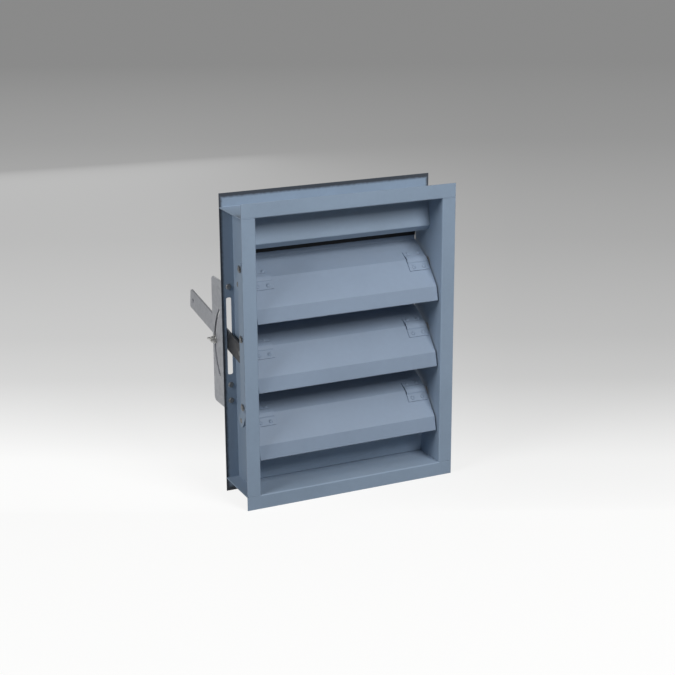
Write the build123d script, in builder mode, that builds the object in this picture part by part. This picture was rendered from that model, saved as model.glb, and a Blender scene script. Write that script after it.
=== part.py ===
"""Adjustable blade louver: flanged channel frame, three pivoted blades, hidden tie bar, locking hand lever.

Millimetres. X runs across the width, Y runs through the frame with the front at -Y, Z is up.
The origin is the middle of the sill, on the line where its flange edges stand.
"""
import os
from math import atan2, cos, hypot, radians, sin

from build123d import *

os.makedirs("parts", exist_ok=True)

# Frame: four channels with their flanges turned outward
opening_width = 349.2
opening_height = 488.95
frame_depth = 101.6
flange_width = 25.4
frame_gauge = 1.6
frame_bend = 2.4
blade_count = 3

# Blade section, measured from the axle centre with the blade at mid travel
blade_gauge = 1.2
blade_end_gap = 3.1
lip_foot_y = -44.0
lip_foot_z = -62.0
lip_bend_y = -38.5
lip_bend_z = -36.5
crease_y = -2.0
crease_z = 7.0
knee_y = 23.0
knee_z = 20.7
tail_y = 45.0
tail_z = 31.0
upturn_y = 44.5
upturn_z = 46.5
hem_length = 9.0
hem_pitch = 3.2
hem_bend = 1.55
edging_depth = 7.5
edging_wall = 1.0

# Axles and bearings
axle_radius = 4.7625
running_clearance = 0.05
axle_overlap = 46.0
axle_chamfer = 0.5
bearing_barrel_radius = 8.0
bearing_flange_radius = 13.0
bearing_flange_thickness = 2.0
bearing_proud = 1.8
ring_gap = 0.3
ring_thickness = 1.0
ring_radius = 8.0
ring_groove_radius = 3.8
ring_land = 1.8

# Axle clips on the blade face, saddles behind it, and the rivets that join them
clip_length = 38.0
clip_inset = 3.5
clip_gauge = 1.6
clip_rise = 1.6
clip_face_reach = 23.0
clip_tail_reach = 18.5
clip_face_step = 8.0
clip_tail_step = 8.5
clip_run = 2.2
clip_bend = 1.8
saddle_length = 32.0
saddle_gauge = 1.6
saddle_ear = 13.0
saddle_bend = 1.9
rivet_radius = 2.0
rivet_head_radius = 3.8
rivet_head_height = 1.6
rivet_tail_radius = 3.0
rivet_tail_height = 0.8
rivet_face_offset = 16.2
rivet_tail_offset = 14.0
rivet_spacing = 20.0

# Cranks and tie bar inside the left channel
crank_radius = 38.1
crank_angle = 123.0
crank_plate = 3.2
crank_hub_radius = 10.0
crank_hub_length = 7.0
crank_hub_gap = 0.4
crank_boss_radius = 11.5
axle_stand = 0.4
crank_eye_radius = 8.5
set_screw_radius = 2.5
set_screw_socket = 1.3
pin_radius = 4.0
pin_head_radius = 6.4
pin_head_height = 1.6
pin_shoulder = 1.0
pin_tail = 2.6
pin_groove_radius = 3.0
tie_bar_width = 19.0
tie_bar_thickness = 3.0
tie_pivot_clearance = 0.06
tie_open_clearance = 0.1
pin_clip_gap = 0.3
pin_clip_thickness = 1.0
pin_clip_radius = 6.6

# Hand lever
lever_angle = 9.0
lever_width = 35.0
lever_reach = 245.0
lever_corner = 4.0
lever_hole_radius = 4.0
lever_hole_inset = 14.0

# Locking quadrant behind the left jamb
plate_thickness = 3.0
plate_depth = 47.0
plate_drop = 111.9
plate_rise = 116.1
plate_corner = 5.0
tab_width = 21.0
lower_tab_height = 52.0
upper_tab_height = 20.0
quadrant_radius = 88.0
stud_lag = 7.0
stud_radius = 3.0
stud_slot_clearance = 0.3
stud_head_radius = 7.0
stud_head_height = 3.0
spacer_radius = 6.5
clamp_gap = 0.3
clamp_washer_radius = 8.0
clamp_washer_thickness = 1.5
nut_hub_radius = 6.0
nut_hub_height = 5.0
wing_span = 24.0
wing_thickness = 2.4
wing_height = 8.5
nut_taper = 8.0
stud_end = 2.0
stud_chamfer = 0.6
screw_radius = 2.5
screw_clearance = 0.2
screw_head_radius = 5.0
screw_head_height = 2.4
screw_nut_radius = 4.6
screw_nut_height = 4.0
screw_end = 1.5
screw_inset = 11.5

# Travel of the blades from mid position
closed_turn = 40.0
open_turn = -40.0
slot_margin = 1.6
slot_width = 9.6
arc_margin = 1.5

# Stops that the end blades close against
stop_gauge = 1.2
stop_bend = 2.2
stop_leg = 20.0
head_stop_top_y = 7.0
head_stop_fold_y = -6.5
head_stop_drop = 55.8
head_stop_return_y = 11.5
head_stop_return_z = 10.5
sill_stop_foot_y = 18.0
sill_stop_top_y = 13.5
sill_stop_height = 54.6

# Derived positions
web_inner_x = opening_width / 2
web_outer_x = web_inner_x + frame_gauge
edge_x = web_inner_x + flange_width
front_y = -frame_depth / 2
rear_y = frame_depth / 2
sill_z = flange_width
head_z = sill_z + opening_height
overall_height = head_z + flange_width
pitch = opening_height / (blade_count + 1)
blade_half = web_inner_x - blade_end_gap
axis_heights = [sill_z + pitch * (index + 1) for index in range(blade_count)]
middle_z = axis_heights[1]
bearing_face_x = web_outer_x + bearing_flange_thickness
hub_start_x = bearing_face_x + crank_hub_gap
crank_inner_x = hub_start_x + crank_hub_length
crank_outer_x = crank_inner_x + crank_plate
axle_end_x = crank_outer_x + axle_stand
tie_inner_x = crank_outer_x + pin_shoulder
tie_outer_x = tie_inner_x + tie_bar_thickness
right_axle_end_x = bearing_face_x + ring_gap + ring_thickness + ring_land
crank_pin_y = crank_radius * cos(radians(crank_angle))
crank_pin_z = crank_radius * sin(radians(crank_angle))
plate_inner_x = edge_x - plate_thickness
plate_bottom = middle_z - plate_drop
plate_top = middle_z + plate_rise
tab_rear_y = rear_y + plate_thickness


def direction(y0, z0, y1, z1):
    """Unit vector from one section point to another."""
    length = hypot(y1 - y0, z1 - z0)
    return (y1 - y0) / length, (z1 - z0) / length


lip_dir = direction(lip_foot_y, lip_foot_z, lip_bend_y, lip_bend_z)
face_dir = direction(lip_bend_y, lip_bend_z, crease_y, crease_z)
band_dir = direction(crease_y, crease_z, knee_y, knee_z)
upturn_dir = direction(tail_y, tail_z, upturn_y, upturn_z)
# Normals that point off the hidden side of each sheet
lip_under = (lip_dir[1], -lip_dir[0])
face_under = (face_dir[1], -face_dir[0])
band_under = (band_dir[1], -band_dir[0])


def from_crease(vector, along, under, depth):
    """Section point a distance along a panel from the crease, at a depth below its top surface."""
    return crease_y + vector[0] * along + under[0] * depth, crease_z + vector[1] * along + under[1] * depth


def section_plane(x, z):
    """Plane across the louver: its x axis is Y and its y axis is Z."""
    return Plane(origin=(x, 0, z), x_dir=(0, 1, 0), z_dir=(1, 0, 0))


# Head and sill channels run the full width
with BuildPart() as sill_channel:
    with BuildSketch(section_plane(-edge_x, 0)):
        with BuildLine():
            FilletPolyline((front_y, 0), (front_y, sill_z), (rear_y, sill_z), (rear_y, 0), radius=frame_bend)
            offset(amount=frame_gauge, side=Side.RIGHT)
        make_face()
    extrude(amount=2 * edge_x)

with BuildPart() as head_channel:
    with BuildSketch(section_plane(-edge_x, 0)):
        with BuildLine():
            FilletPolyline(
                (front_y, overall_height),
                (front_y, head_z),
                (rear_y, head_z),
                (rear_y, overall_height),
                radius=frame_bend,
            )
            offset(amount=frame_gauge, side=Side.LEFT)
        make_face()
    extrude(amount=2 * edge_x)


def lever_edge_height(turn, side):
    """Height over the axle where an edge of the lever crosses the rear flange, at a blade turn."""
    angle = radians(lever_angle + turn)
    crossing = rear_y if side * angle > 0 else rear_y - frame_gauge
    return crossing * sin(angle) / cos(angle) + side * lever_width / 2 / cos(angle)


slot_top = middle_z + lever_edge_height(closed_turn, 1) + slot_margin
slot_bottom = middle_z + lever_edge_height(open_turn, -1) - slot_margin
slot_centre_x = -(crank_inner_x + crank_outer_x) / 2
screw_x = slot_centre_x
upper_tab_bottom = plate_top - upper_tab_height
lower_tab_top = plate_bottom + lower_tab_height
screw_heights = [plate_bottom + screw_inset, lower_tab_top - screw_inset, plate_top - upper_tab_height / 2]


def jamb(side):
    """Channel between the sill and the head, with its flanges turned away from the opening."""
    edge = side * edge_x
    web = side * web_inner_x
    hollow = Side.LEFT if side < 0 else Side.RIGHT
    with BuildPart() as channel:
        with BuildSketch(Plane.XY.offset(sill_z)):
            with BuildLine():
                FilletPolyline(
                    (edge, front_y),
                    (web, front_y),
                    (web, rear_y),
                    (edge, rear_y),
                    radius=frame_bend,
                )
                offset(amount=frame_gauge, side=hollow)
            make_face()
        extrude(amount=opening_height)
        for height in axis_heights:
            with BuildSketch(section_plane(web, height)):
                Circle(bearing_barrel_radius + running_clearance)
            extrude(amount=frame_gauge * 2, both=True, mode=Mode.SUBTRACT)
    return channel.part


with BuildPart() as left_jamb:
    add(jamb(-1))
    with BuildSketch(Plane.XZ.offset(-rear_y - frame_gauge)):
        with Locations((slot_centre_x, (slot_top + slot_bottom) / 2)):
            RectangleRounded(slot_width, slot_top - slot_bottom, slot_width / 3)
        with Locations([(screw_x, height) for height in screw_heights]):
            Circle(screw_radius + screw_clearance)
    extrude(amount=frame_gauge * 3, mode=Mode.SUBTRACT)

with BuildPart() as right_jamb:
    add(jamb(1))

# The head stop leans forward and returns at its lower edge, the sill stop stands up with a flange on top
with BuildPart() as head_stop:
    with BuildSketch(section_plane(-web_inner_x, head_z)):
        with BuildLine():
            FilletPolyline(
                (head_stop_top_y + stop_leg, 0),
                (head_stop_top_y, 0),
                (head_stop_fold_y, -head_stop_drop),
                (head_stop_fold_y + head_stop_return_y, -head_stop_drop - head_stop_return_z),
                radius=stop_bend,
            )
            offset(amount=stop_gauge, side=Side.LEFT)
        make_face()
    extrude(amount=2 * web_inner_x)

with BuildPart() as sill_stop:
    with BuildSketch(section_plane(-web_inner_x, sill_z)):
        with BuildLine():
            FilletPolyline(
                (sill_stop_foot_y + stop_leg, 0),
                (sill_stop_foot_y, 0),
                (sill_stop_top_y, sill_stop_height),
                (sill_stop_top_y + hem_length, sill_stop_height),
                radius=stop_bend,
            )
            offset(amount=stop_gauge, side=Side.RIGHT)
        make_face()
    extrude(amount=2 * web_inner_x)


def bearings(side):
    """Flanged bushings pushed through the web from the channel side, one for each axle."""
    with BuildPart() as row:
        for height in axis_heights:
            with BuildSketch(section_plane(side * bearing_face_x, height)):
                Circle(bearing_flange_radius)
            extrude(amount=-side * bearing_flange_thickness)
            with BuildSketch(section_plane(side * web_outer_x, height)):
                Circle(bearing_barrel_radius)
            extrude(amount=-side * (frame_gauge + bearing_proud))
            with BuildSketch(section_plane(side * bearing_face_x, height)):
                Circle(axle_radius + running_clearance)
            extrude(amount=frame_depth / 4, both=True, mode=Mode.SUBTRACT)
    return row.part


left_bearings = bearings(-1)
right_bearings = bearings(1)

rivet_columns = [blade_half - clip_inset - clip_length / 2 + shift * rivet_spacing / 2 for shift in (-1, 1)]
rivet_spots = [side * column for side in (-1, 1) for column in rivet_columns]
rivet_rows = [
    (face_dir, face_under, -rivet_face_offset),
    (band_dir, band_under, rivet_tail_offset),
]


def panel_plane(x, z, vector, under, along, depth):
    """Plane lying on a blade panel with its normal pointing off the visible side."""
    y_at, z_at = from_crease(vector, along, under, depth)
    return Plane(origin=(x, y_at, z + z_at), x_dir=(1, 0, 0), z_dir=(0, -under[0], -under[1]))


def drill_rivets(z, depth_in, depth_out):
    """Cut the rivet holes of one blade through the part being built."""
    for x in rivet_spots:
        for vector, under, along in rivet_rows:
            with BuildSketch(panel_plane(x, z, vector, under, along, depth_in)) as hole:
                Circle(rivet_radius + running_clearance)
            extrude(hole.sketch, amount=depth_in - depth_out, mode=Mode.SUBTRACT)


def blade_skin(z):
    """One blade: hemmed lip, broad face, crease over the axle, rear band and an upturned rear flange."""
    lip_hem = (lip_foot_y + lip_under[0] * hem_pitch, lip_foot_z + lip_under[1] * hem_pitch)
    with BuildPart() as skin:
        with BuildSketch(section_plane(-blade_half, z)):
            with BuildLine():
                FilletPolyline(
                    (lip_hem[0] + lip_dir[0] * hem_length, lip_hem[1] + lip_dir[1] * hem_length),
                    lip_hem,
                    (lip_foot_y, lip_foot_z),
                    (lip_bend_y, lip_bend_z),
                    (crease_y, crease_z),
                    (knee_y, knee_z),
                    (tail_y, tail_z),
                    (upturn_y, upturn_z),
                    radius=hem_bend,
                )
                offset(amount=blade_gauge, side=Side.RIGHT)
            make_face()
        extrude(amount=2 * blade_half)
        drill_rivets(z, blade_gauge * 3, -blade_gauge * 2)
    return skin.part


def blade_edging(z):
    """Push-on edging over the rear flange, which cushions the blade where it closes."""
    sheet_faces = (0, blade_gauge)
    outer_faces = (-edging_wall, blade_gauge + edging_wall)
    profile = [
        (-edging_depth, outer_faces[0]),
        (edging_wall, outer_faces[0]),
        (edging_wall, outer_faces[1]),
        (-edging_depth, outer_faces[1]),
        (-edging_depth, sheet_faces[1]),
        (0, sheet_faces[1]),
        (0, sheet_faces[0]),
        (-edging_depth, sheet_faces[0]),
    ]
    with BuildPart() as edging:
        with BuildSketch(section_plane(-blade_half, z)):
            with BuildLine():
                Polyline(
                    [
                        (
                            upturn_y + upturn_dir[0] * along + upturn_dir[1] * behind,
                            upturn_z + upturn_dir[1] * along - upturn_dir[0] * behind,
                        )
                        for along, behind in profile
                    ],
                    close=True,
                )
            make_face()
        extrude(amount=2 * blade_half)
    return edging.part


def clip_starts(length, inset):
    """Inner and outer ends of a clip at each end of a blade."""
    return [-(blade_half - inset), blade_half - inset - length]


def axle_clips(z):
    """Raised straps over the crease, one at each end of the blade."""
    mitre = from_crease((0, 0), 0, (0, 0), 0)
    bisect = (face_under[0] + band_under[0], face_under[1] + band_under[1])
    scale = clip_rise / (bisect[0] * face_under[0] + bisect[1] * face_under[1])
    with BuildPart() as straps:
        for x in clip_starts(clip_length, clip_inset):
            with BuildSketch(section_plane(x, z)):
                with BuildLine():
                    FilletPolyline(
                        from_crease(face_dir, -clip_face_reach, face_under, 0),
                        from_crease(face_dir, -clip_face_step, face_under, 0),
                        from_crease(face_dir, -clip_face_step + clip_run, face_under, -clip_rise),
                        (mitre[0] - bisect[0] * scale, mitre[1] - bisect[1] * scale),
                        from_crease(band_dir, clip_tail_step - clip_run, band_under, -clip_rise),
                        from_crease(band_dir, clip_tail_step, band_under, 0),
                        from_crease(band_dir, clip_tail_reach, band_under, 0),
                        radius=clip_bend,
                    )
                    offset(amount=clip_gauge, side=Side.LEFT)
                make_face()
            extrude(amount=clip_length)
        drill_rivets(z, blade_gauge, -clip_gauge * 3)
    return straps.part


def axle_saddles(z):
    """Straps behind the blade that wrap each stub axle and lie flat against the skin."""
    seat = axle_radius + running_clearance
    to_face = -crease_y * face_dir[0] - crease_z * face_dir[1]
    to_band = -crease_y * band_dir[0] - crease_z * band_dir[1]
    face_drop = -crease_y * face_under[0] - crease_z * face_under[1]
    band_drop = -crease_y * band_under[0] - crease_z * band_under[1]
    half_fold = (atan2(face_dir[1], face_dir[0]) - atan2(band_dir[1], band_dir[0])) / 2
    wrap = seat * (1 - sin(half_fold)) / cos(half_fold)
    with BuildPart() as straps:
        for x in clip_starts(saddle_length, clip_inset + (clip_length - saddle_length) / 2):
            with BuildSketch(section_plane(x, z)):
                with BuildLine():
                    FilletPolyline(
                        from_crease(face_dir, to_face - seat - saddle_ear, face_under, blade_gauge),
                        from_crease(face_dir, to_face - seat, face_under, blade_gauge),
                        from_crease(face_dir, to_face - seat, face_under, face_drop + wrap),
                        from_crease(band_dir, to_band + seat, band_under, band_drop + wrap),
                        from_crease(band_dir, to_band + seat, band_under, blade_gauge),
                        from_crease(band_dir, to_band + seat + saddle_ear, band_under, blade_gauge),
                        radius=saddle_bend,
                    )
                    offset(amount=saddle_gauge, side=Side.RIGHT)
                make_face()
            extrude(amount=saddle_length)
        drill_rivets(z, blade_gauge + saddle_gauge * 2, 0)
    return straps.part


def rivets(z):
    """Dome-head rivets of one blade, through clip, skin and saddle."""
    top = clip_gauge
    head_top = top + rivet_head_height
    bottom = blade_gauge + saddle_gauge
    tail_end = bottom + rivet_tail_height
    crown = (rivet_head_radius**2 + rivet_head_height**2) / (2 * rivet_head_height)
    with BuildPart() as row:
        for x in rivet_spots:
            for vector, under, along in rivet_rows:
                panel = panel_plane(x, z, vector, under, along, 0)
                across = (0, -panel.z_dir.Z, panel.z_dir.Y)
                with BuildSketch(Plane(origin=panel.origin, x_dir=(1, 0, 0), z_dir=across)):
                    with BuildLine():
                        Polyline(
                            (0, head_top),
                            (0, -tail_end),
                            (rivet_tail_radius, -tail_end),
                            (rivet_tail_radius, -bottom),
                            (rivet_radius, -bottom),
                            (rivet_radius, top),
                            (rivet_head_radius, top),
                        )
                        RadiusArc((rivet_head_radius, top), (0, head_top), -crown)
                    make_face()
                revolve(axis=Axis(panel.origin, panel.z_dir), revolution_arc=360)
    return row.part


def left_axle(z):
    """Stub axle that carries a crank or the lever outside the left bearing."""
    with BuildPart() as stub:
        with BuildSketch(section_plane(-axle_end_x, z)):
            Circle(axle_radius)
        extrude(amount=axle_end_x - blade_half + axle_overlap)
        chamfer(stub.edges().filter_by(GeomType.CIRCLE), length=axle_chamfer)
    return stub.part


def right_axle(z):
    """Plain stub axle with a groove for its retaining ring."""
    with BuildPart() as stub:
        with BuildSketch(section_plane(blade_half - axle_overlap, z)):
            Circle(axle_radius)
        extrude(amount=right_axle_end_x - blade_half + axle_overlap)
        chamfer(stub.edges().filter_by(GeomType.CIRCLE), length=axle_chamfer)
        with BuildSketch(section_plane(bearing_face_x + ring_gap, z)):
            Circle(axle_radius * 2)
            Circle(ring_groove_radius, mode=Mode.SUBTRACT)
        extrude(amount=ring_thickness, mode=Mode.SUBTRACT)
    return stub.part


def open_ring(x, z, bore, rim, thickness, y=0.0):
    """Spring ring with a mouth, pushed sideways into a groove."""
    with BuildPart() as ring:
        with BuildSketch(section_plane(x, z)):
            with Locations((y, 0)):
                Circle(rim)
                Circle(bore, mode=Mode.SUBTRACT)
            with Locations((y, rim / 2)):
                Rectangle(bore * 1.5, rim, mode=Mode.SUBTRACT)
        extrude(amount=thickness)
    return ring.part


def retaining_ring(z):
    """Ring that keeps a blade from sliding left."""
    return open_ring(bearing_face_x + ring_gap, z, ring_groove_radius, ring_radius, ring_thickness)


def set_screw_plane(z):
    """Plane on the axle centre, looking out along the set screw."""
    return Plane(origin=(-hub_start_x - crank_hub_length / 2, 0, z), x_dir=(1, 0, 0), z_dir=(0, 1, 0))


def hub_and_holes(z):
    """Hub, bore, set screw hole and pin hole of the crank being built."""
    with BuildSketch(section_plane(-crank_inner_x, z)) as hub:
        Circle(crank_hub_radius)
    extrude(hub.sketch, amount=crank_hub_length)
    with BuildSketch(section_plane(-crank_outer_x, z)) as bores:
        Circle(axle_radius + running_clearance)
        with Locations((crank_pin_y, crank_pin_z)):
            Circle(pin_radius + running_clearance)
    extrude(bores.sketch, amount=crank_plate + crank_hub_length, mode=Mode.SUBTRACT)
    with BuildSketch(set_screw_plane(z)) as tapped:
        Circle(set_screw_radius + running_clearance)
    extrude(tapped.sketch, amount=crank_hub_radius * 1.5, mode=Mode.SUBTRACT)


def crank_arm(z):
    """Crank with a tapered arm and a turned hub."""
    with BuildPart() as crank:
        with BuildSketch(section_plane(-crank_outer_x, z)):
            Circle(crank_boss_radius)
            with Locations((crank_pin_y, crank_pin_z)):
                Circle(crank_eye_radius)
            make_hull()
        extrude(amount=crank_plate)
        hub_and_holes(z)
    return crank.part


def set_screw(z):
    """Hexagon socket screw that bears on the axle."""
    with BuildPart() as screw:
        with BuildSketch(set_screw_plane(z).offset(axle_radius)):
            Circle(set_screw_radius)
        extrude(amount=crank_hub_radius - axle_radius)
        with BuildSketch(set_screw_plane(z).offset(crank_hub_radius)):
            RegularPolygon(set_screw_socket, 6)
        extrude(amount=-set_screw_radius, mode=Mode.SUBTRACT)
    return screw.part


def crank_pin(z):
    """Shouldered pin riveted through a crank, with a groove for its clip."""
    groove_x = tie_outer_x + pin_clip_gap
    end_x = groove_x + pin_clip_thickness + pin_tail / 2
    with BuildPart() as pin:
        with BuildSketch(section_plane(-end_x, z)):
            with Locations((crank_pin_y, crank_pin_z)):
                Circle(pin_radius)
        extrude(amount=end_x - crank_inner_x)
        with BuildSketch(section_plane(-crank_inner_x, z)):
            with Locations((crank_pin_y, crank_pin_z)):
                Circle(pin_head_radius)
        extrude(amount=pin_head_height)
        with BuildSketch(section_plane(-tie_inner_x, z)):
            with Locations((crank_pin_y, crank_pin_z)):
                Circle(pin_head_radius)
        extrude(amount=pin_shoulder)
        with BuildSketch(section_plane(-groove_x - pin_clip_thickness, z)):
            with Locations((crank_pin_y, crank_pin_z)):
                Circle(pin_radius * 2)
                Circle(pin_groove_radius, mode=Mode.SUBTRACT)
        extrude(amount=pin_clip_thickness, mode=Mode.SUBTRACT)
    return pin.part


def pin_clip(z):
    """Clip in the groove of a crank pin."""
    x = -tie_outer_x - pin_clip_gap - pin_clip_thickness
    return open_ring(x, z + crank_pin_z, pin_groove_radius, pin_clip_radius, pin_clip_thickness, crank_pin_y)


# Tie bar
with BuildPart() as tie_bar:
    with BuildSketch(section_plane(-tie_outer_x, middle_z + crank_pin_z)):
        with Locations((crank_pin_y, 0)):
            SlotCenterToCenter(pitch * (blade_count - 1), tie_bar_width, rotation=90)
            Circle(pin_radius + tie_pivot_clearance, mode=Mode.SUBTRACT)
        with Locations((crank_pin_y, pitch), (crank_pin_y, -pitch)):
            Circle(pin_radius + tie_open_clearance, mode=Mode.SUBTRACT)
    extrude(amount=tie_bar_thickness)

# Lever: one flat bar with the hub, the pin ear and the handle
lever_y = cos(radians(lever_angle))
lever_z = sin(radians(lever_angle))
stud_angle = lever_angle - stud_lag
stud_y = quadrant_radius * cos(radians(stud_angle))
stud_z = quadrant_radius * sin(radians(stud_angle))

with BuildPart() as control_lever:
    with BuildSketch(section_plane(-crank_outer_x, middle_z)):
        Circle(crank_boss_radius)
        with Locations((crank_pin_y, crank_pin_z)):
            Circle(crank_eye_radius)
        make_hull()
        Circle(lever_width / 2)
        with Locations(Location((lever_y * lever_reach / 2, lever_z * lever_reach / 2), lever_angle)):
            Rectangle(lever_reach, lever_width)
        Circle(lever_width / 2)
    extrude(amount=crank_plate)
    tip = control_lever.edges().filter_by(Axis.X).sort_by(Axis.Y)[-2:]
    fillet(tip, radius=lever_corner)
    hub_and_holes(middle_z)
    with BuildSketch(section_plane(-crank_outer_x, middle_z)):
        with Locations((stud_y, stud_z)):
            Circle(stud_radius + running_clearance)
        hole_reach = lever_reach - lever_hole_inset
        with Locations((lever_y * hole_reach, lever_z * hole_reach)):
            Circle(lever_hole_radius)
    extrude(amount=crank_plate, mode=Mode.SUBTRACT)

# Quadrant plate with two tabs turned in behind the rear flange
with BuildPart() as quadrant_plate:
    with BuildSketch(section_plane(-edge_x, (plate_top + plate_bottom) / 2)):
        with Locations((rear_y + plate_depth / 2, 0)):
            Rectangle(plate_depth, plate_top - plate_bottom)
    extrude(amount=plate_thickness)
    outer_corners = quadrant_plate.edges().filter_by(Axis.X).sort_by(Axis.Y)[-2:]
    chamfer(outer_corners, length=plate_corner)
    for low, high in ((plate_bottom, lower_tab_top), (upper_tab_bottom, plate_top)):
        with BuildSketch(Plane.XY.offset(low)):
            with Locations((-edge_x, rear_y)):
                Rectangle(tab_width, plate_thickness, align=(Align.MIN, Align.MIN))
        extrude(amount=high - low)
    arc_top = lever_angle - stud_lag + closed_turn + arc_margin
    arc_bottom = lever_angle - stud_lag + open_turn - arc_margin
    stud_path = CenterArc((0, 0), quadrant_radius, arc_bottom, arc_top - arc_bottom, mode=Mode.PRIVATE)
    with BuildSketch(section_plane(-edge_x, middle_z)):
        SlotArc(stud_path, 2 * (stud_radius + stud_slot_clearance))
    extrude(amount=plate_thickness * 2, both=True, mode=Mode.SUBTRACT)
    with BuildSketch(Plane.XZ.offset(-tab_rear_y)):
        with Locations([(screw_x, height) for height in screw_heights]):
            Circle(screw_radius + screw_clearance)
    extrude(amount=plate_thickness, mode=Mode.SUBTRACT)
    tab_bends = quadrant_plate.edges().filter_by(Axis.Z)
    tab_bends = tab_bends.filter_by_position(Axis.X, -edge_x - 0.01, -edge_x + 0.01)
    fillet(tab_bends.filter_by_position(Axis.Y, rear_y - 0.01, rear_y + 0.01), radius=plate_thickness / 2)

with BuildPart() as quadrant_screws:
    with BuildSketch(Plane.XZ.offset(-rear_y + frame_gauge)):
        with Locations([(screw_x, height) for height in screw_heights]):
            Circle(screw_head_radius)
    extrude(amount=screw_head_height)
    fillet(quadrant_screws.faces().sort_by(Axis.Y)[:3].edges(), radius=screw_head_height * 0.7)
    with BuildSketch(Plane.XZ.offset(-rear_y + frame_gauge)):
        with Locations([(screw_x, height) for height in screw_heights]):
            Circle(screw_radius)
    extrude(amount=-(frame_gauge + plate_thickness + screw_nut_height + screw_end))

with BuildPart() as quadrant_nuts:
    with BuildSketch(Plane.XZ.offset(-tab_rear_y)):
        with Locations([(screw_x, height) for height in screw_heights]):
            RegularPolygon(screw_nut_radius, 6)
            Circle(screw_radius + running_clearance, mode=Mode.SUBTRACT)
    extrude(amount=-screw_nut_height)


def stud_plane(x):
    """Plane across the clamp stud."""
    return section_plane(x, middle_z)


stud_end_x = edge_x + clamp_gap * 2 + clamp_washer_thickness + nut_hub_height + stud_end
washer_x = edge_x + clamp_gap
nut_x = washer_x + clamp_washer_thickness + clamp_gap

# Clamp: stud on the lever, spacer up to the plate, washer and wing nut outside it
with BuildPart() as clamp_stud:
    with BuildSketch(stud_plane(-crank_inner_x)):
        with Locations((stud_y, stud_z)):
            Circle(stud_head_radius)
    extrude(amount=stud_head_height)
    fillet(clamp_stud.edges().group_by(Axis.X)[-1], radius=stud_head_height * 0.6)
    with BuildSketch(stud_plane(-crank_inner_x)):
        with Locations((stud_y, stud_z)):
            Circle(stud_radius)
    extrude(amount=crank_inner_x - stud_end_x)
    chamfer(clamp_stud.edges().group_by(Axis.X)[0], length=stud_chamfer)

with BuildPart() as clamp_spacer:
    with BuildSketch(stud_plane(-crank_outer_x)):
        with Locations((stud_y, stud_z)):
            Circle(spacer_radius)
            Circle(stud_radius + running_clearance, mode=Mode.SUBTRACT)
    extrude(amount=crank_outer_x - plate_inner_x + clamp_gap)

with BuildPart() as clamp_washer:
    with BuildSketch(stud_plane(-washer_x)):
        with Locations((stud_y, stud_z)):
            Circle(clamp_washer_radius)
            Circle(stud_radius + running_clearance, mode=Mode.SUBTRACT)
    extrude(amount=-clamp_washer_thickness)

with BuildPart() as wing_nut:
    with BuildSketch(stud_plane(-nut_x)):
        with Locations((stud_y, stud_z)):
            Circle(nut_hub_radius)
    extrude(amount=-nut_hub_height, taper=nut_taper)
    with BuildSketch(Plane.XY.offset(middle_z + stud_z)):
        with BuildLine():
            Polyline(
                (-nut_x - nut_hub_height * 0.2, stud_y),
                (-nut_x - nut_hub_height * 0.2, stud_y + nut_hub_radius * 0.8),
                (-nut_x - nut_hub_height * 0.7, stud_y + wing_span * 0.5),
                (-nut_x - wing_height, stud_y + wing_span * 0.46),
                (-nut_x - wing_height, stud_y + wing_span / 3),
                (-nut_x - nut_hub_height * 0.8, stud_y),
                close=True,
            )
        make_face()
        mirror(about=Plane.XZ.offset(-stud_y))
    extrude(amount=wing_thickness / 2, both=True)
    with BuildSketch(stud_plane(-nut_x)):
        with Locations((stud_y, stud_z)):
            Circle(stud_radius + running_clearance)
    extrude(amount=-wing_height * 1.5, mode=Mode.SUBTRACT)


def save(part, name):
    """Name a piece and write it out."""
    part.label = name
    export_step(part, f"parts/{name}.step")


sill_channel.part.label = "sill_channel"
export_step(sill_channel.part, "parts/sill_channel.step")
save(head_channel.part, "head_channel")
save(left_jamb.part, "left_jamb")
save(right_jamb.part, "right_jamb")
save(head_stop.part, "head_stop")
save(sill_stop.part, "sill_stop")
save(left_bearings, "left_bearings")
save(right_bearings, "right_bearings")
save(tie_bar.part, "tie_bar")
save(control_lever.part, "control_lever")
save(quadrant_plate.part, "quadrant_plate")
save(quadrant_screws.part, "quadrant_screws")
save(quadrant_nuts.part, "quadrant_nuts")
save(clamp_stud.part, "clamp_stud")
save(clamp_spacer.part, "clamp_spacer")
save(clamp_washer.part, "clamp_washer")
save(wing_nut.part, "wing_nut")

for level, axis_z in zip(("lower", "middle", "upper"), axis_heights):
    save(blade_skin(axis_z), f"{level}_blade")
    save(blade_edging(axis_z), f"{level}_blade_edging")
    save(axle_clips(axis_z), f"{level}_axle_clips")
    save(axle_saddles(axis_z), f"{level}_axle_saddles")
    save(rivets(axis_z), f"{level}_blade_rivets")
    save(left_axle(axis_z), f"{level}_left_axle")
    save(right_axle(axis_z), f"{level}_right_axle")
    save(retaining_ring(axis_z), f"{level}_retaining_ring")
    save(set_screw(axis_z), f"{level}_set_screw")
    save(crank_pin(axis_z), f"{level}_crank_pin")
    save(pin_clip(axis_z), f"{level}_pin_clip")
    if axis_z != middle_z:
        save(crank_arm(axis_z), f"{level}_crank_arm")
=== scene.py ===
import math
import random

import bmesh
import bpy
from mathutils import Matrix, Vector


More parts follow.
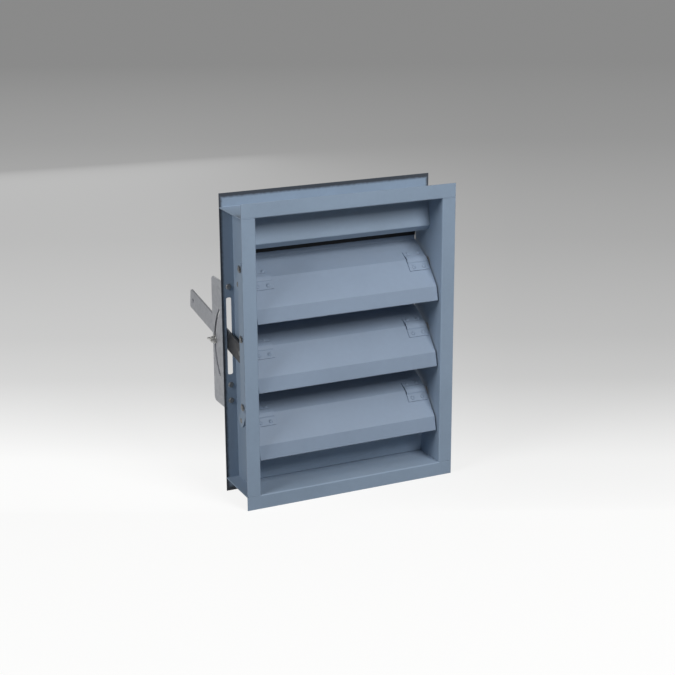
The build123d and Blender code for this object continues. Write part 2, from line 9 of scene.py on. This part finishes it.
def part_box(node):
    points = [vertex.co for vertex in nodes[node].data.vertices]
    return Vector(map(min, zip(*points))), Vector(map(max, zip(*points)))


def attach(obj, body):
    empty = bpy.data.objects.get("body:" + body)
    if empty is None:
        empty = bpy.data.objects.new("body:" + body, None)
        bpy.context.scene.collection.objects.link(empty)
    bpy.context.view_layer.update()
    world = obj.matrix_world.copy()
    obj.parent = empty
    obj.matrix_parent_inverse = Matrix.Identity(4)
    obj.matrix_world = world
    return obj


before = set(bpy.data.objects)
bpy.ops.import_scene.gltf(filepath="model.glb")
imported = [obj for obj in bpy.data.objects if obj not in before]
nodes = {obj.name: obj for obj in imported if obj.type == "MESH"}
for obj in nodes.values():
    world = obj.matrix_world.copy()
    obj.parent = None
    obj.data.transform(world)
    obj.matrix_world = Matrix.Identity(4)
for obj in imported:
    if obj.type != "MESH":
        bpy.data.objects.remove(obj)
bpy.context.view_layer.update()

print("frame in, %d nodes" % len(nodes))

# Lengths are in metres and angles in degrees throughout


def newGroup(name, inputs, outputs):
    group = bpy.data.node_groups.new(name, "ShaderNodeTree")
    for label, value in inputs.items():
        kind = "NodeSocketColor" if isinstance(value, tuple) else "NodeSocketFloat"
        socket = group.interface.new_socket(name=label, in_out="INPUT", socket_type=kind)
        socket.default_value = (*value, 1.0) if isinstance(value, tuple) else value
    for label, kind in outputs.items():
        group.interface.new_socket(name=label, in_out="OUTPUT", socket_type=kind)
    return group, group.nodes.new("NodeGroupInput"), group.nodes.new("NodeGroupOutput")


def place(tree, kind, **settings):
    node = tree.nodes.new(kind)
    for key, value in settings.items():
        setattr(node, key, value)
    return node


def join(tree, source, sink):
    tree.links.new(source, sink)


def calc(tree, operation, first, second, clamp=False):
    node = place(tree, "ShaderNodeMath", operation=operation, use_clamp=clamp)
    for index, value in enumerate((first, second)):
        if isinstance(value, (int, float)):
            node.inputs[index].default_value = value
        else:
            join(tree, value, node.inputs[index])
    return node.outputs[0]


def remap(tree, value, low, high, newLow, newHigh):
    node = place(tree, "ShaderNodeMapRange")
    join(tree, value, node.inputs["Value"])
    for label, number in (("From Min", low), ("From Max", high), ("To Min", newLow), ("To Max", newHigh)):
        if isinstance(number, (int, float)):
            node.inputs[label].default_value = number
        else:
            join(tree, number, node.inputs[label])
    return node.outputs["Result"]


def blendColors(tree, factor, first, second):
    node = place(tree, "ShaderNodeMix", data_type="RGBA")
    join(tree, factor, node.inputs["Factor"])
    for socket, value in ((node.inputs[6], first), (node.inputs[7], second)):
        if isinstance(value, tuple):
            socket.default_value = (*value, 1.0)
        else:
            join(tree, value, socket)
    return node.outputs[2]


# Worn edges: where a rounded normal leaves the flat one, broken up by noise
def buildEdgeWear():
    sizes = {"Width": 0.0006, "Amount": 0.4, "Breakup": 120.0}
    group, gin, gout = newGroup("edgeWear", sizes, {"Mask": "NodeSocketFloat"})
    bevel = place(group, "ShaderNodeBevel", samples=6)
    join(group, gin.outputs["Width"], bevel.inputs["Radius"])
    flat = place(group, "ShaderNodeNewGeometry")
    facing = place(group, "ShaderNodeVectorMath", operation="DOT_PRODUCT")
    join(group, bevel.outputs["Normal"], facing.inputs[0])
    join(group, flat.outputs["Normal"], facing.inputs[1])
    edge = remap(group, facing.outputs["Value"], 0.999, 0.86, 0.0, 1.0)
    where = place(group, "ShaderNodeTexCoord")
    patches = place(group, "ShaderNodeTexNoise")
    join(group, where.outputs["Object"], patches.inputs["Vector"])
    join(group, gin.outputs["Breakup"], patches.inputs["Scale"])
    patches.inputs["Detail"].default_value = 4.0
    broken = remap(group, patches.outputs["Fac"], 0.42, 0.62, 0.15, 1.0)
    rubbed = calc(group, "MULTIPLY", edge, broken)
    worn = calc(group, "MULTIPLY", rubbed, gin.outputs["Amount"], clamp=True)
    join(group, worn, gout.inputs["Mask"])
    return group


# Slow unevenness of tone over a panel
def buildMottle():
    results = {"Shade": "NodeSocketFloat", "Gloss": "NodeSocketFloat"}
    group, gin, gout = newGroup("toneMottle", {"Scale": 8.0, "Amount": 0.05}, results)
    where = place(group, "ShaderNodeTexCoord")
    broad = place(group, "ShaderNodeTexNoise")
    fine = place(group, "ShaderNodeTexNoise")
    for noise in (broad, fine):
        join(group, where.outputs["Object"], noise.inputs["Vector"])
    join(group, gin.outputs["Scale"], broad.inputs["Scale"])
    join(group, calc(group, "MULTIPLY", gin.outputs["Scale"], 14.0), fine.inputs["Scale"])
    most = calc(group, "MULTIPLY", broad.outputs["Fac"], 0.75)
    both = calc(group, "ADD", most, calc(group, "MULTIPLY", fine.outputs["Fac"], 0.25))
    low = calc(group, "SUBTRACT", 1.0, gin.outputs["Amount"])
    high = calc(group, "ADD", 1.0, gin.outputs["Amount"])
    join(group, remap(group, both, 0.35, 0.65, low, high), gout.inputs["Shade"])
    join(group, remap(group, fine.outputs["Fac"], 0.3, 0.7, -0.05, 0.06), gout.inputs["Gloss"])
    return group


# Fine pebbling of sprayed enamel or moulded plastic
def buildGrain():
    group, gin, gout = newGroup("fineGrain", {"Scale": 900.0}, {"Height": "NodeSocketFloat"})
    where = place(group, "ShaderNodeTexCoord")
    pebbles = place(group, "ShaderNodeTexNoise")
    join(group, where.outputs["Object"], pebbles.inputs["Vector"])
    join(group, gin.outputs["Scale"], pebbles.inputs["Scale"])
    pebbles.inputs["Detail"].default_value = 1.5
    join(group, pebbles.outputs["Fac"], gout.inputs["Height"])
    return group


# Dust that settles on what faces up
def buildDust():
    group, gin, gout = newGroup("settledDust", {"Amount": 0.1}, {"Mask": "NodeSocketFloat"})
    surface = place(group, "ShaderNodeNewGeometry")
    parts = place(group, "ShaderNodeSeparateXYZ")
    join(group, surface.outputs["Normal"], parts.inputs[0])
    up = remap(group, parts.outputs["Z"], 0.55, 1.0, 0.0, 1.0)
    where = place(group, "ShaderNodeTexCoord")
    drift = place(group, "ShaderNodeTexNoise")
    join(group, where.outputs["Object"], drift.inputs["Vector"])
    drift.inputs["Scale"].default_value = 26.0
    drift.inputs["Detail"].default_value = 6.0
    patchy = remap(group, drift.outputs["Fac"], 0.35, 0.7, 0.2, 1.0)
    settled = calc(group, "MULTIPLY", up, patchy)
    join(group, calc(group, "MULTIPLY", settled, gin.outputs["Amount"], clamp=True), gout.inputs["Mask"])
    return group


# Crystals of hot-dip zinc
def buildSpangle():
    results = {"Tone": "NodeSocketFloat", "Gloss": "NodeSocketFloat"}
    group, gin, gout = newGroup("zincSpangle", {"Scale": 120.0}, results)
    where = place(group, "ShaderNodeTexCoord")
    warp = place(group, "ShaderNodeTexNoise")
    join(group, where.outputs["Object"], warp.inputs["Vector"])
    warp.inputs["Scale"].default_value = 60.0
    bent = place(group, "ShaderNodeVectorMath", operation="MULTIPLY_ADD")
    join(group, warp.outputs["Color"], bent.inputs[0])
    bent.inputs[1].default_value = (0.006, 0.006, 0.006)
    join(group, where.outputs["Object"], bent.inputs[2])
    crystals = place(group, "ShaderNodeTexVoronoi")
    join(group, bent.outputs["Vector"], crystals.inputs["Vector"])
    join(group, gin.outputs["Scale"], crystals.inputs["Scale"])
    parts = place(group, "ShaderNodeSeparateColor")
    join(group, crystals.outputs["Color"], parts.inputs[0])
    join(group, parts.outputs[0], gout.inputs["Tone"])
    join(group, remap(group, parts.outputs[1], 0.0, 1.0, -0.09, 0.10), gout.inputs["Gloss"])
    return group


# Painted shade round a pivot, darkest near its axis and thinning out with a ragged edge, measured from its
# axis
def buildPaintedPivotShade():
    sizes = {"AxisY": 0.0, "AxisZ": 0.27, "Near": 0.014, "Far": 0.05}
    group, gin, gout = newGroup("paintedPivotShade", sizes, {"Mask": "NodeSocketFloat"})
    where = place(group, "ShaderNodeTexCoord")
    parts = place(group, "ShaderNodeSeparateXYZ")
    join(group, where.outputs["Object"], parts.inputs[0])
    aside = calc(group, "SUBTRACT", parts.outputs["Y"], gin.outputs["AxisY"])
    above = calc(group, "SUBTRACT", parts.outputs["Z"], gin.outputs["AxisZ"])
    asideSquared = calc(group, "MULTIPLY", aside, aside)
    squares = calc(group, "ADD", asideSquared, calc(group, "MULTIPLY", above, above))
    reach = calc(group, "POWER", squares, 0.5)
    shadeEdgeNoise = place(group, "ShaderNodeTexNoise")
    join(group, where.outputs["Object"], shadeEdgeNoise.inputs["Vector"])
    shadeEdgeNoise.inputs["Scale"].default_value = 90.0
    shadeEdgeNoise.inputs["Detail"].default_value = 5.0
    ragged = calc(group, "ADD", reach, remap(group, shadeEdgeNoise.outputs["Fac"], 0.3, 0.7, -0.006, 0.006))
    join(group, remap(group, ragged, gin.outputs["Near"], gin.outputs["Far"], 1.0, 0.0), gout.inputs["Mask"])
    return group


# Dark band along the outline of the rear flanges, with a ragged inner edge
def buildDarkEdgeBand():
    sizes = {
        "HalfWidth": 0.2,
        "HalfHeight": 0.27,
        "Rear": 0.05,
        "Band": 0.006,
        "Fade": 0.0016,
        "Skin": 0.0024,
        "Clear": 0.0004,
    }
    group, gin, gout = newGroup("darkEdgeBand", sizes, {"Mask": "NodeSocketFloat"})
    where = place(group, "ShaderNodeTexCoord")
    parts = place(group, "ShaderNodeSeparateXYZ")
    join(group, where.outputs["Object"], parts.inputs[0])
    across = calc(group, "ABSOLUTE", parts.outputs["X"], 0.0)
    aside = calc(group, "SUBTRACT", across, gin.outputs["HalfWidth"])
    middle = calc(group, "SUBTRACT", parts.outputs["Z"], gin.outputs["HalfHeight"])
    above = calc(group, "SUBTRACT", calc(group, "ABSOLUTE", middle, 0.0), gin.outputs["HalfHeight"])
    outward = calc(group, "MAXIMUM", aside, above)
    bandEdgeNoise = place(group, "ShaderNodeTexNoise")
    join(group, where.outputs["Object"], bandEdgeNoise.inputs["Vector"])
    bandEdgeNoise.inputs["Scale"].default_value = 160.0
    uneven = calc(group, "ADD", outward, remap(group, bandEdgeNoise.outputs["Fac"], 0.3, 0.7, -0.0005, 0.0005))
    inside = calc(group, "ADD", uneven, gin.outputs["Band"])
    band = remap(group, inside, 0.0, gin.outputs["Fade"], 0.0, 1.0)
    deep = calc(group, "SUBTRACT", gin.outputs["Rear"], parts.outputs["Y"])
    within = calc(group, "LESS_THAN", deep, gin.outputs["Skin"])
    front = calc(group, "MULTIPLY", within, calc(group, "GREATER_THAN", deep, gin.outputs["Clear"]))
    join(group, calc(group, "MULTIPLY", band, front), gout.inputs["Mask"])
    return group


edgeWear = buildEdgeWear()
darkEdgeBand = buildDarkEdgeBand()
paintedPivotShade = buildPaintedPivotShade()
toneMottle = buildMottle()
fineGrain = buildGrain()
settledDust = buildDust()
zincSpangle = buildSpangle()
print("finish groups ready")


def newMaterial(name):
    material = bpy.data.materials.new(name)
    material.use_nodes = True
    tree = material.node_tree
    tree.nodes.clear()
    shader = place(tree, "ShaderNodeBsdfPrincipled")
    out = place(tree, "ShaderNodeOutputMaterial")
    join(tree, shader.outputs["BSDF"], out.inputs["Surface"])
    return material, tree, shader


def use(tree, group, **values):
    node = place(tree, "ShaderNodeGroup", node_tree=group)
    for label, value in values.items():
        node.inputs[label].default_value = value
    return node


def scaleColor(tree, color, factor):
    node = place(tree, "ShaderNodeVectorMath", operation="SCALE")
    node.inputs[0].default_value = color
    join(tree, factor, node.inputs["Scale"])
    return node.outputs["Vector"]


def setRelief(tree, shader, height, distance, softEdge):
    bump = place(tree, "ShaderNodeBump")
    bump.inputs["Distance"].default_value = distance
    join(tree, height, bump.inputs["Height"])
    rounded = place(tree, "ShaderNodeBevel", samples=4)
    rounded.inputs["Radius"].default_value = softEdge
    join(tree, rounded.outputs["Normal"], bump.inputs["Normal"])
    join(tree, bump.outputs["Normal"], shader.inputs["Normal"])


framePaint = {
    "color": (0.262, 0.342, 0.447),
    "wornColor": (0.36, 0.41, 0.48),
    "roughness": 0.54,
    "coat": 0.04,
    "coatRoughness": 0.3,
    "shine": 0.32,
    "edgeWidth": 0.0006,
    "wear": 0.30,
    "mottle": 0.045,
    "mottleScale": 9.0,
    "peelScale": 900.0,
    "peelHeight": 0.000012,
    "dust": 0.10,
    "dustColor": (0.44, 0.46, 0.48),
    "dustDulls": 0.4,
}

# The blades' enamel is the frame's made a shade darker, as painted shade on the blades
bladePaint = dict(framePaint, color=(0.252, 0.322, 0.427), roughness=0.50, wear=0.34, mottleScale=7.0)

# Dark band along the outer edge of the rear flanges' front faces
rearDarkBand = {
    "color": (0.052, 0.061, 0.076),
    "halfWidth": 0.2030,     # a little over the real half, so that the band is narrower down the sides
    "halfHeight": 0.269875,
    "rear": 0.0508,
    "band": 0.0095,
    "fade": 0.0042,
    "skin": 0.0024,          # only the front of the sheet gets the dark band, not its back
    "clear": 0.0004,
}


def enamel(name, look, darkBand=None):
    material, tree, shader = newMaterial(name)
    mottle = use(tree, toneMottle, Scale=look["mottleScale"], Amount=look["mottle"])
    wear = use(tree, edgeWear, Width=look["edgeWidth"], Amount=look["wear"])
    dust = use(tree, settledDust, Amount=look["dust"])
    grain = use(tree, fineGrain, Scale=look["peelScale"])
    coat = scaleColor(tree, look["color"], mottle.outputs["Shade"])
    rubbed = blendColors(tree, wear.outputs["Mask"], coat, look["wornColor"])
    if darkBand:
        darkBandNode = use(
            tree,
            darkEdgeBand,
            HalfWidth=darkBand["halfWidth"],
            HalfHeight=darkBand["halfHeight"],
            Rear=darkBand["rear"],
            Band=darkBand["band"],
            Fade=darkBand["fade"],
            Skin=darkBand["skin"],
            Clear=darkBand["clear"],
        )
        rubbed = blendColors(tree, darkBandNode.outputs["Mask"], rubbed, darkBand["color"])
    dusty = blendColors(tree, dust.outputs["Mask"], rubbed, look["dustColor"])
    join(tree, dusty, shader.inputs["Base Color"])
    dull = calc(tree, "ADD", mottle.outputs["Gloss"], look["roughness"])
    dulled = calc(tree, "MULTIPLY", dust.outputs["Mask"], look["dustDulls"])
    join(tree, calc(tree, "ADD", dull, dulled), shader.inputs["Roughness"])
    shader.inputs["Specular IOR Level"].default_value = look["shine"]
    shader.inputs["Coat Weight"].default_value = look["coat"]
    shader.inputs["Coat Roughness"].default_value = look["coatRoughness"]
    setRelief(tree, shader, grain.outputs["Height"], look["peelHeight"], look["edgeWidth"])
    return material


galvanised = {
    "dark": (0.400, 0.412, 0.440),
    "light": (0.455, 0.467, 0.495),
    "roughness": 0.50,
    "spangleScale": 130.0,
    "edgeWidth": 0.0005,
    "wear": 0.5,
    "metal": 0.35,
    "relief": 0.00002,
    "pivotShadeColor": (0.045, 0.047, 0.052),
    "pivotShadeNear": 0.050,      # metres from the pivot's axis where the painted shade starts to thin out
    "pivotShadeFar": 0.074,
}


def zincDipped(name, look, pivotShaded=False):
    material, tree, shader = newMaterial(name)
    spangle = use(tree, zincSpangle, Scale=look["spangleScale"])
    wear = use(tree, edgeWear, Width=look["edgeWidth"], Amount=look["wear"])
    skin = blendColors(tree, spangle.outputs["Tone"], look["dark"], look["light"])
    bright = blendColors(tree, wear.outputs["Mask"], skin, look["light"])
    if pivotShaded:
        # Painted shade on the lever's part inside the channel, round its pivot
        pivotShadeNode = use(tree, paintedPivotShade, Near=look["pivotShadeNear"], Far=look["pivotShadeFar"])
        bright = blendColors(tree, pivotShadeNode.outputs["Mask"], bright, look["pivotShadeColor"])
    join(tree, bright, shader.inputs["Base Color"])
    join(tree, calc(tree, "ADD", spangle.outputs["Gloss"], look["roughness"]), shader.inputs["Roughness"])
    shader.inputs["Metallic"].default_value = look["metal"]
    setRelief(tree, shader, spangle.outputs["Tone"], look["relief"], look["edgeWidth"])
    return material


zincPlate = {
    "color": (0.50, 0.50, 0.485),
    "darkZincColor": (0.16, 0.165, 0.17),
    "dullColor": (0.23, 0.235, 0.24),
    "wornColor": (0.62, 0.62, 0.61),
    "wear": 0.5,
    "metal": 0.8,
    "roughness": 0.36,
    "dullRoughness": 0.52,
    "mottle": 0.12,
    "mottleScale": 60.0,
    "grainScale": 1400.0,
    "grainHeight": 0.000008,
    "edgeWidth": 0.0003,
    "threadScale": 1250.0,
    "threadHeight": 0.0003,
}


def zincPlated(name, look, tint, roughness, threaded=False):
    material, tree, shader = newMaterial(name)
    mottle = use(tree, toneMottle, Scale=look["mottleScale"], Amount=look["mottle"])
    wear = use(tree, edgeWear, Width=look["edgeWidth"], Amount=look["wear"])
    skin = scaleColor(tree, tint, mottle.outputs["Shade"])
    join(tree, blendColors(tree, wear.outputs["Mask"], skin, look["wornColor"]), shader.inputs["Base Color"])
    join(tree, calc(tree, "ADD", mottle.outputs["Gloss"], roughness), shader.inputs["Roughness"])
    shader.inputs["Metallic"].default_value = look["metal"]
    if threaded:
        where = place(tree, "ShaderNodeTexCoord")
        turns = place(tree, "ShaderNodeTexWave", wave_type="BANDS", bands_direction="X")
        turns.inputs["Scale"].default_value = look["threadScale"] / (2 * math.pi)
        join(tree, where.outputs["Object"], turns.inputs["Vector"])
        setRelief(tree, shader, turns.outputs["Fac"], look["threadHeight"], look["edgeWidth"])
    else:
        grain = use(tree, fineGrain, Scale=look["grainScale"])
        setRelief(tree, shader, grain.outputs["Height"], look["grainHeight"], look["edgeWidth"])
    return material


nylon = {
    "color": (0.27, 0.28, 0.30),
    "roughness": 0.55,
    "shine": 0.5,
    "mottle": 0.10,
    "mottleScale": 30.0,
    "softEdge": 0.0004,
    "grainScale": 700.0,
    "grainHeight": 0.00002,
}

# Near-black edging on the blades' upturned flanges, a dark strip put in the deep shade of the gap above each
# blade: painted shade
shadeBlackEdgingLook = dict(nylon, color=(0.010, 0.011, 0.013), roughness=0.70, shine=0.25, grainScale=500.0)


def moulded(name, look):
    material, tree, shader = newMaterial(name)
    mottle = use(tree, toneMottle, Scale=look["mottleScale"], Amount=look["mottle"])
    grain = use(tree, fineGrain, Scale=look["grainScale"])
    join(tree, scaleColor(tree, look["color"], mottle.outputs["Shade"]), shader.inputs["Base Color"])
    join(tree, calc(tree, "ADD", mottle.outputs["Gloss"], look["roughness"]), shader.inputs["Roughness"])
    shader.inputs["Specular IOR Level"].default_value = look["shine"]
    setRelief(tree, shader, grain.outputs["Height"], look["grainHeight"], look["softEdge"])
    return material


frameEnamel = enamel("frameEnamel", framePaint, rearDarkBand)
bladeEnamel = enamel("bladeEnamel", bladePaint)
leverZinc = zincDipped("leverZinc", galvanised, pivotShaded=True)
plateZinc = zincDipped("plateZinc", galvanised)
hardwareZinc = zincPlated("hardwareZinc", zincPlate, zincPlate["color"], zincPlate["roughness"])
threadZinc = zincPlated("threadZinc", zincPlate, zincPlate["color"], zincPlate["roughness"], threaded=True)
# Darker zinc on the crank pins, pin clips, set screws and left axle
darkZinc = zincPlated("darkZinc", zincPlate, zincPlate["darkZincColor"], zincPlate["roughness"])
dullZinc = zincPlated("dullZinc", zincPlate, zincPlate["dullColor"], zincPlate["dullRoughness"])
bearingNylon = moulded("bearingNylon", nylon)
shadeBlackEdging = moulded("shadeBlackEdging", shadeBlackEdgingLook)

finishOf = {
    shadeBlackEdging: ["blade_edging"],
    frameEnamel: ["channel", "jamb", "head_stop", "sill_stop", "tie_bar", "crank_arm"],
    bladeEnamel: ["_blade", "axle_clips", "axle_saddles", "blade_rivets"],
    leverZinc: ["control_lever"],
    plateZinc: ["quadrant_plate"],
    threadZinc: ["clamp_stud"],
    darkZinc: ["crank_pin", "pin_clip", "set_screw", "left_axle"],
    dullZinc: ["quadrant_screws", "quadrant_nuts"],
    bearingNylon: ["bearings"],
}


def finishFor(name):
    for material, words in finishOf.items():
        if any(word in name for word in words):
            return material
    return hardwareZinc


for name, piece in nodes.items():
    finish = finishFor(name)
    if piece.data.materials:
        for slot in piece.material_slots:
            slot.material = finish
    else:
        piece.data.materials.append(finish)
print("finishes on the frame's nodes")

cornerWeld = {
    "bend": 0.0024,          # the channel's bend radius, which the bead fills
    "wall": 0.0016,
    "lap": 0.0004,
    "root": 0.00005,
    "throat": 0.45,
    "sink": 0.00015,
    "ripple": 0.00012,
    "ripplePace": 1.9,
    "rippleShare": 0.5,
    "steps": 36,
    "seed": 4,
}


# Welds that fill the groove between a jamb's end and the bend of the head or sill
def buildCornerWelds():
    rng = random.Random(cornerWeld["seed"])
    bend, sink, steps = cornerWeld["bend"], cornerWeld["sink"], cornerWeld["steps"]
    lap, root, throat = cornerWeld["lap"], cornerWeld["root"], cornerWeld["bend"] * cornerWeld["throat"]
    mesh = bpy.data.meshes.new("cornerWelds")
    bm = bmesh.new()
    for jamb in ("left_jamb", "right_jamb"):
        low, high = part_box(jamb)
        side = -1 if jamb == "left_jamb" else 1
        outer = low.x if side < 0 else high.x
        inner = (high.x if side < 0 else low.x) + side * cornerWeld["wall"]
        for seamZ, up in ((low.z, 1), (high.z, -1)):
            for faceY, inward in ((low.y, 1), (high.y, -1)):
                rows = []
                for step in range(steps + 1):
                    x = outer + (inner - outer) * step / steps
                    swell = math.sin(step * cornerWeld["ripplePace"]) * cornerWeld["rippleShare"]
                    wave = cornerWeld["ripple"] * (swell + rng.uniform(0, 1))
                    face = faceY + inward * (sink + wave)
                    ring = [
                        (x, face, seamZ + up * lap),
                        (x, face, seamZ - up * bend),
                        (x, faceY + inward * throat, seamZ - up * throat),
                        (x, faceY + inward * bend, seamZ + up * root),
                    ]
                    rows.append([bm.verts.new(point) for point in ring])
                for first, second in zip(rows, rows[1:]):
                    for index in range(4):
                        after = (index + 1) % 4
                        bm.faces.new((first[index], first[after], second[after], second[index]))
                bm.faces.new(rows[0])
                bm.faces.new(rows[-1][::-1])
    bmesh.ops.recalc_face_normals(bm, faces=bm.faces)
    bm.to_mesh(mesh)
    bm.free()
    welds = bpy.data.objects.new("cornerWelds", mesh)
    bpy.context.collection.objects.link(welds)
    mesh.materials.append(frameEnamel)
    mesh.shade_smooth()
    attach(welds, "frame")
    return welds


buildCornerWelds()
print("corner welds")


cameraView = {
    "lens": 81.19,
    "azimuth": -25.07,       # degrees round to the louver's left
    "elevation": 17.18,
    "roll": -0.295,
    "distance": 2.6138,
    "target": (-0.0277, -0.0508, 0.2935),
    "shiftY": -0.0022,
}


def cameraAxes():
    azimuth, elevation, roll = (math.radians(cameraView[key]) for key in ("azimuth", "elevation", "roll"))
    level = math.cos(elevation)
    back = Vector((math.sin(azimuth) * level, -math.cos(azimuth) * level, math.sin(elevation)))
    right = (-back).cross(Vector((0, 0, 1))).normalized()
    up = right.cross(-back)
    tilted = right * math.cos(roll) + up * math.sin(roll)
    return tilted, up * math.cos(roll) - right * math.sin(roll), back


def buildCamera():
    right, up, back = cameraAxes()
    data = bpy.data.cameras.new("camera")
    data.lens = cameraView["lens"]
    data.sensor_width = 36.0
    data.shift_y = cameraView["shiftY"]
    data.clip_end = 100.0
    camera = bpy.data.objects.new("camera", data)
    turn = Matrix((right, up, back)).transposed().to_4x4()
    spot = Vector(cameraView["target"]) + back * cameraView["distance"]
    camera.matrix_world = Matrix.Translation(spot) @ turn
    bpy.context.collection.objects.link(camera)
    bpy.context.scene.camera = camera
    return camera


camera = buildCamera()
cameraFoot = Vector((camera.matrix_world.translation.x, camera.matrix_world.translation.y, 0.0))
viewAlong = (Vector(cameraView["target"]) - camera.matrix_world.translation)
viewAlong.z = 0.0
viewAlong.normalize()


# The floor's glow is painted light: its tone ramp runs from white near the camera to grey far away, darker
# to the right and lighter to the left
floorLook = {
    "size": 24.0,
    "near": 2.42,            # metres from the camera's foot where the white floor starts to turn grey
    "far": 8.6,
    "grey": 0.26,
    "lit": 0.16,             # share of the floor's tone that the lamps give, so that it holds a shadow
    "tones": (
        (0.0, 1.0),
        (0.04, 0.97),
        (0.115, 0.66),
        (0.165, 0.57),
        (0.325, 0.46),
        (0.6, 0.36),
        (1.0, 0.29),
    ),
    "bounce": (0.26, 0.264, 0.268),
    "warmth": 0.995,
    "sideSpan": 0.12,        # sideways over forward, where the paper's loss to the side is full
    "sideLoss": 0.09,        # how much painted shade darkens the paper to the right, and painted light brightens it to the left
}


# What the camera, a reflection or a clear piece looks at directly
def seenDirectly(tree):
    rays = place(tree, "ShaderNodeLightPath")
    direct = calc(tree, "MAXIMUM", rays.outputs["Is Camera Ray"], rays.outputs["Is Glossy Ray"])
    return calc(tree, "MAXIMUM", direct, rays.outputs["Is Transmission Ray"])


def buildFloor():
    mesh = bpy.data.meshes.new("floor")
    half = floorLook["size"] / 2
    corners = [(-half, -half, 0), (half, -half, 0), (half, half, 0), (-half, half, 0)]
    mesh.from_pydata(corners, [], [(0, 1, 2, 3)])
    floor = bpy.data.objects.new("floor", mesh)
    bpy.context.collection.objects.link(floor)
    material = bpy.data.materials.new("paperSweep")
    material.use_nodes = True
    tree = material.node_tree
    tree.nodes.clear()
    where = place(tree, "ShaderNodeNewGeometry")
    reach = place(tree, "ShaderNodeVectorMath", operation="SUBTRACT")
    join(tree, where.outputs["Position"], reach.inputs[0])
    reach.inputs[1].default_value = cameraFoot
    along = place(tree, "ShaderNodeVectorMath", operation="DOT_PRODUCT")
    join(tree, reach.outputs["Vector"], along.inputs[0])
    along.inputs[1].default_value = viewAlong
    near, far = floorLook["near"], floorLook["far"]
    depth = remap(tree, along.outputs["Value"], near, far, 0.0, 1.0)
    ramp = place(tree, "ShaderNodeValToRGB")
    join(tree, depth, ramp.inputs["Fac"])
    stops = ramp.color_ramp.elements
    for index, (spot, tone) in enumerate(floorLook["tones"]):
        stop = stops[index] if index < 2 else stops.new(spot)
        stop.position = spot
        stop.color = (tone, tone, tone * floorLook["warmth"], 1.0)
    paper = place(tree, "ShaderNodeBsdfDiffuse")
    paper.inputs["Color"].default_value = (floorLook["lit"],) * 3 + (1.0,)
    plain = place(tree, "ShaderNodeBsdfDiffuse")
    plain.inputs["Color"].default_value = (*floorLook["bounce"], 1.0)
    across = place(tree, "ShaderNodeVectorMath", operation="DOT_PRODUCT")
    join(tree, reach.outputs["Vector"], across.inputs[0])
    across.inputs[1].default_value = viewAlong.cross(Vector((0, 0, 1)))
    side = calc(tree, "DIVIDE", across.outputs["Value"], along.outputs["Value"])
    span, loss = floorLook["sideSpan"], floorLook["sideLoss"]
    side = remap(tree, side, -span, span, -loss, loss)
    middle = calc(tree, "POWER", depth, 0.5)
    middle = calc(tree, "MULTIPLY", calc(tree, "MULTIPLY", middle, 4.0), calc(tree, "SUBTRACT", 1.0, middle))
    keep = calc(tree, "SUBTRACT", 1.0, calc(tree, "MULTIPLY", side, middle))
    shaded = place(tree, "ShaderNodeVectorMath", operation="SCALE")
    join(tree, ramp.outputs["Color"], shaded.inputs[0])
    join(tree, keep, shaded.inputs["Scale"])
    glow = place(tree, "ShaderNodeEmission")
    join(tree, shaded.outputs["Vector"], glow.inputs["Color"])
    glow.inputs["Strength"].default_value = 1.0 - floorLook["lit"]
    seen = place(tree, "ShaderNodeAddShader")
    join(tree, paper.outputs[0], seen.inputs[0])
    join(tree, glow.outputs[0], seen.inputs[1])
    either = place(tree, "ShaderNodeMixShader")
    join(tree, seenDirectly(tree), either.inputs[0])
    join(tree, plain.outputs[0], either.inputs[1])
    join(tree, seen.outputs[0], either.inputs[2])
    out = place(tree, "ShaderNodeOutputMaterial")
    join(tree, either.outputs[0], out.inputs["Surface"])
    mesh.materials.append(material)


studio = {
    "keyPower": 54.0,
    "keySize": 1.1,
    "keyPlace": (0.62, -2.15, 2.05),
    "fillPower": 45.0,
    "fillSize": 1.2,
    "fillPlace": (-2.6, -0.75, 1.9),
    "rearPower": 12.0,
    "rearSize": 1.6,
    "rearPlace": (0.3, 3.0, 0.9),
    "lampTarget": (0.0, 0.0, 0.27),
    "worldStrength": 0.05,
    "worldColor": (0.93, 0.96, 1.0),
}


def buildLamp(name, power, size, spot):
    data = bpy.data.lights.new(name, "AREA")
    data.energy = power
    data.size = size
    lamp = bpy.data.objects.new(name, data)
    lamp.location = spot
    aim = Vector(studio["lampTarget"]) - Vector(spot)
    lamp.rotation_euler = aim.to_track_quat("-Z", "Y").to_euler()
    bpy.context.collection.objects.link(lamp)


def buildWorld():
    world = bpy.data.worlds.new("studio")
    world.use_nodes = True
    tree = world.node_tree
    tree.nodes.clear()
    ambient = place(tree, "ShaderNodeBackground")
    ambient.inputs["Color"].default_value = (*studio["worldColor"], 1.0)
    ambient.inputs["Strength"].default_value = studio["worldStrength"]
    wall = place(tree, "ShaderNodeBackground")
    wall.inputs["Color"].default_value = (floorLook["grey"],) * 3 + (1.0,)
    wall.inputs["Strength"].default_value = 1.0
    either = place(tree, "ShaderNodeMixShader")
    join(tree, seenDirectly(tree), either.inputs[0])
    join(tree, ambient.outputs[0], either.inputs[1])
    join(tree, wall.outputs[0], either.inputs[2])
    out = place(tree, "ShaderNodeOutputWorld")
    join(tree, either.outputs[0], out.inputs["Surface"])
    bpy.context.scene.world = world


buildFloor()
for lamp in ("key", "fill", "rear"):
    buildLamp(lamp + "Lamp", studio[lamp + "Power"], studio[lamp + "Size"], studio[lamp + "Place"])
buildWorld()
bpy.context.scene.view_settings.view_transform = "Standard"
print("studio set")
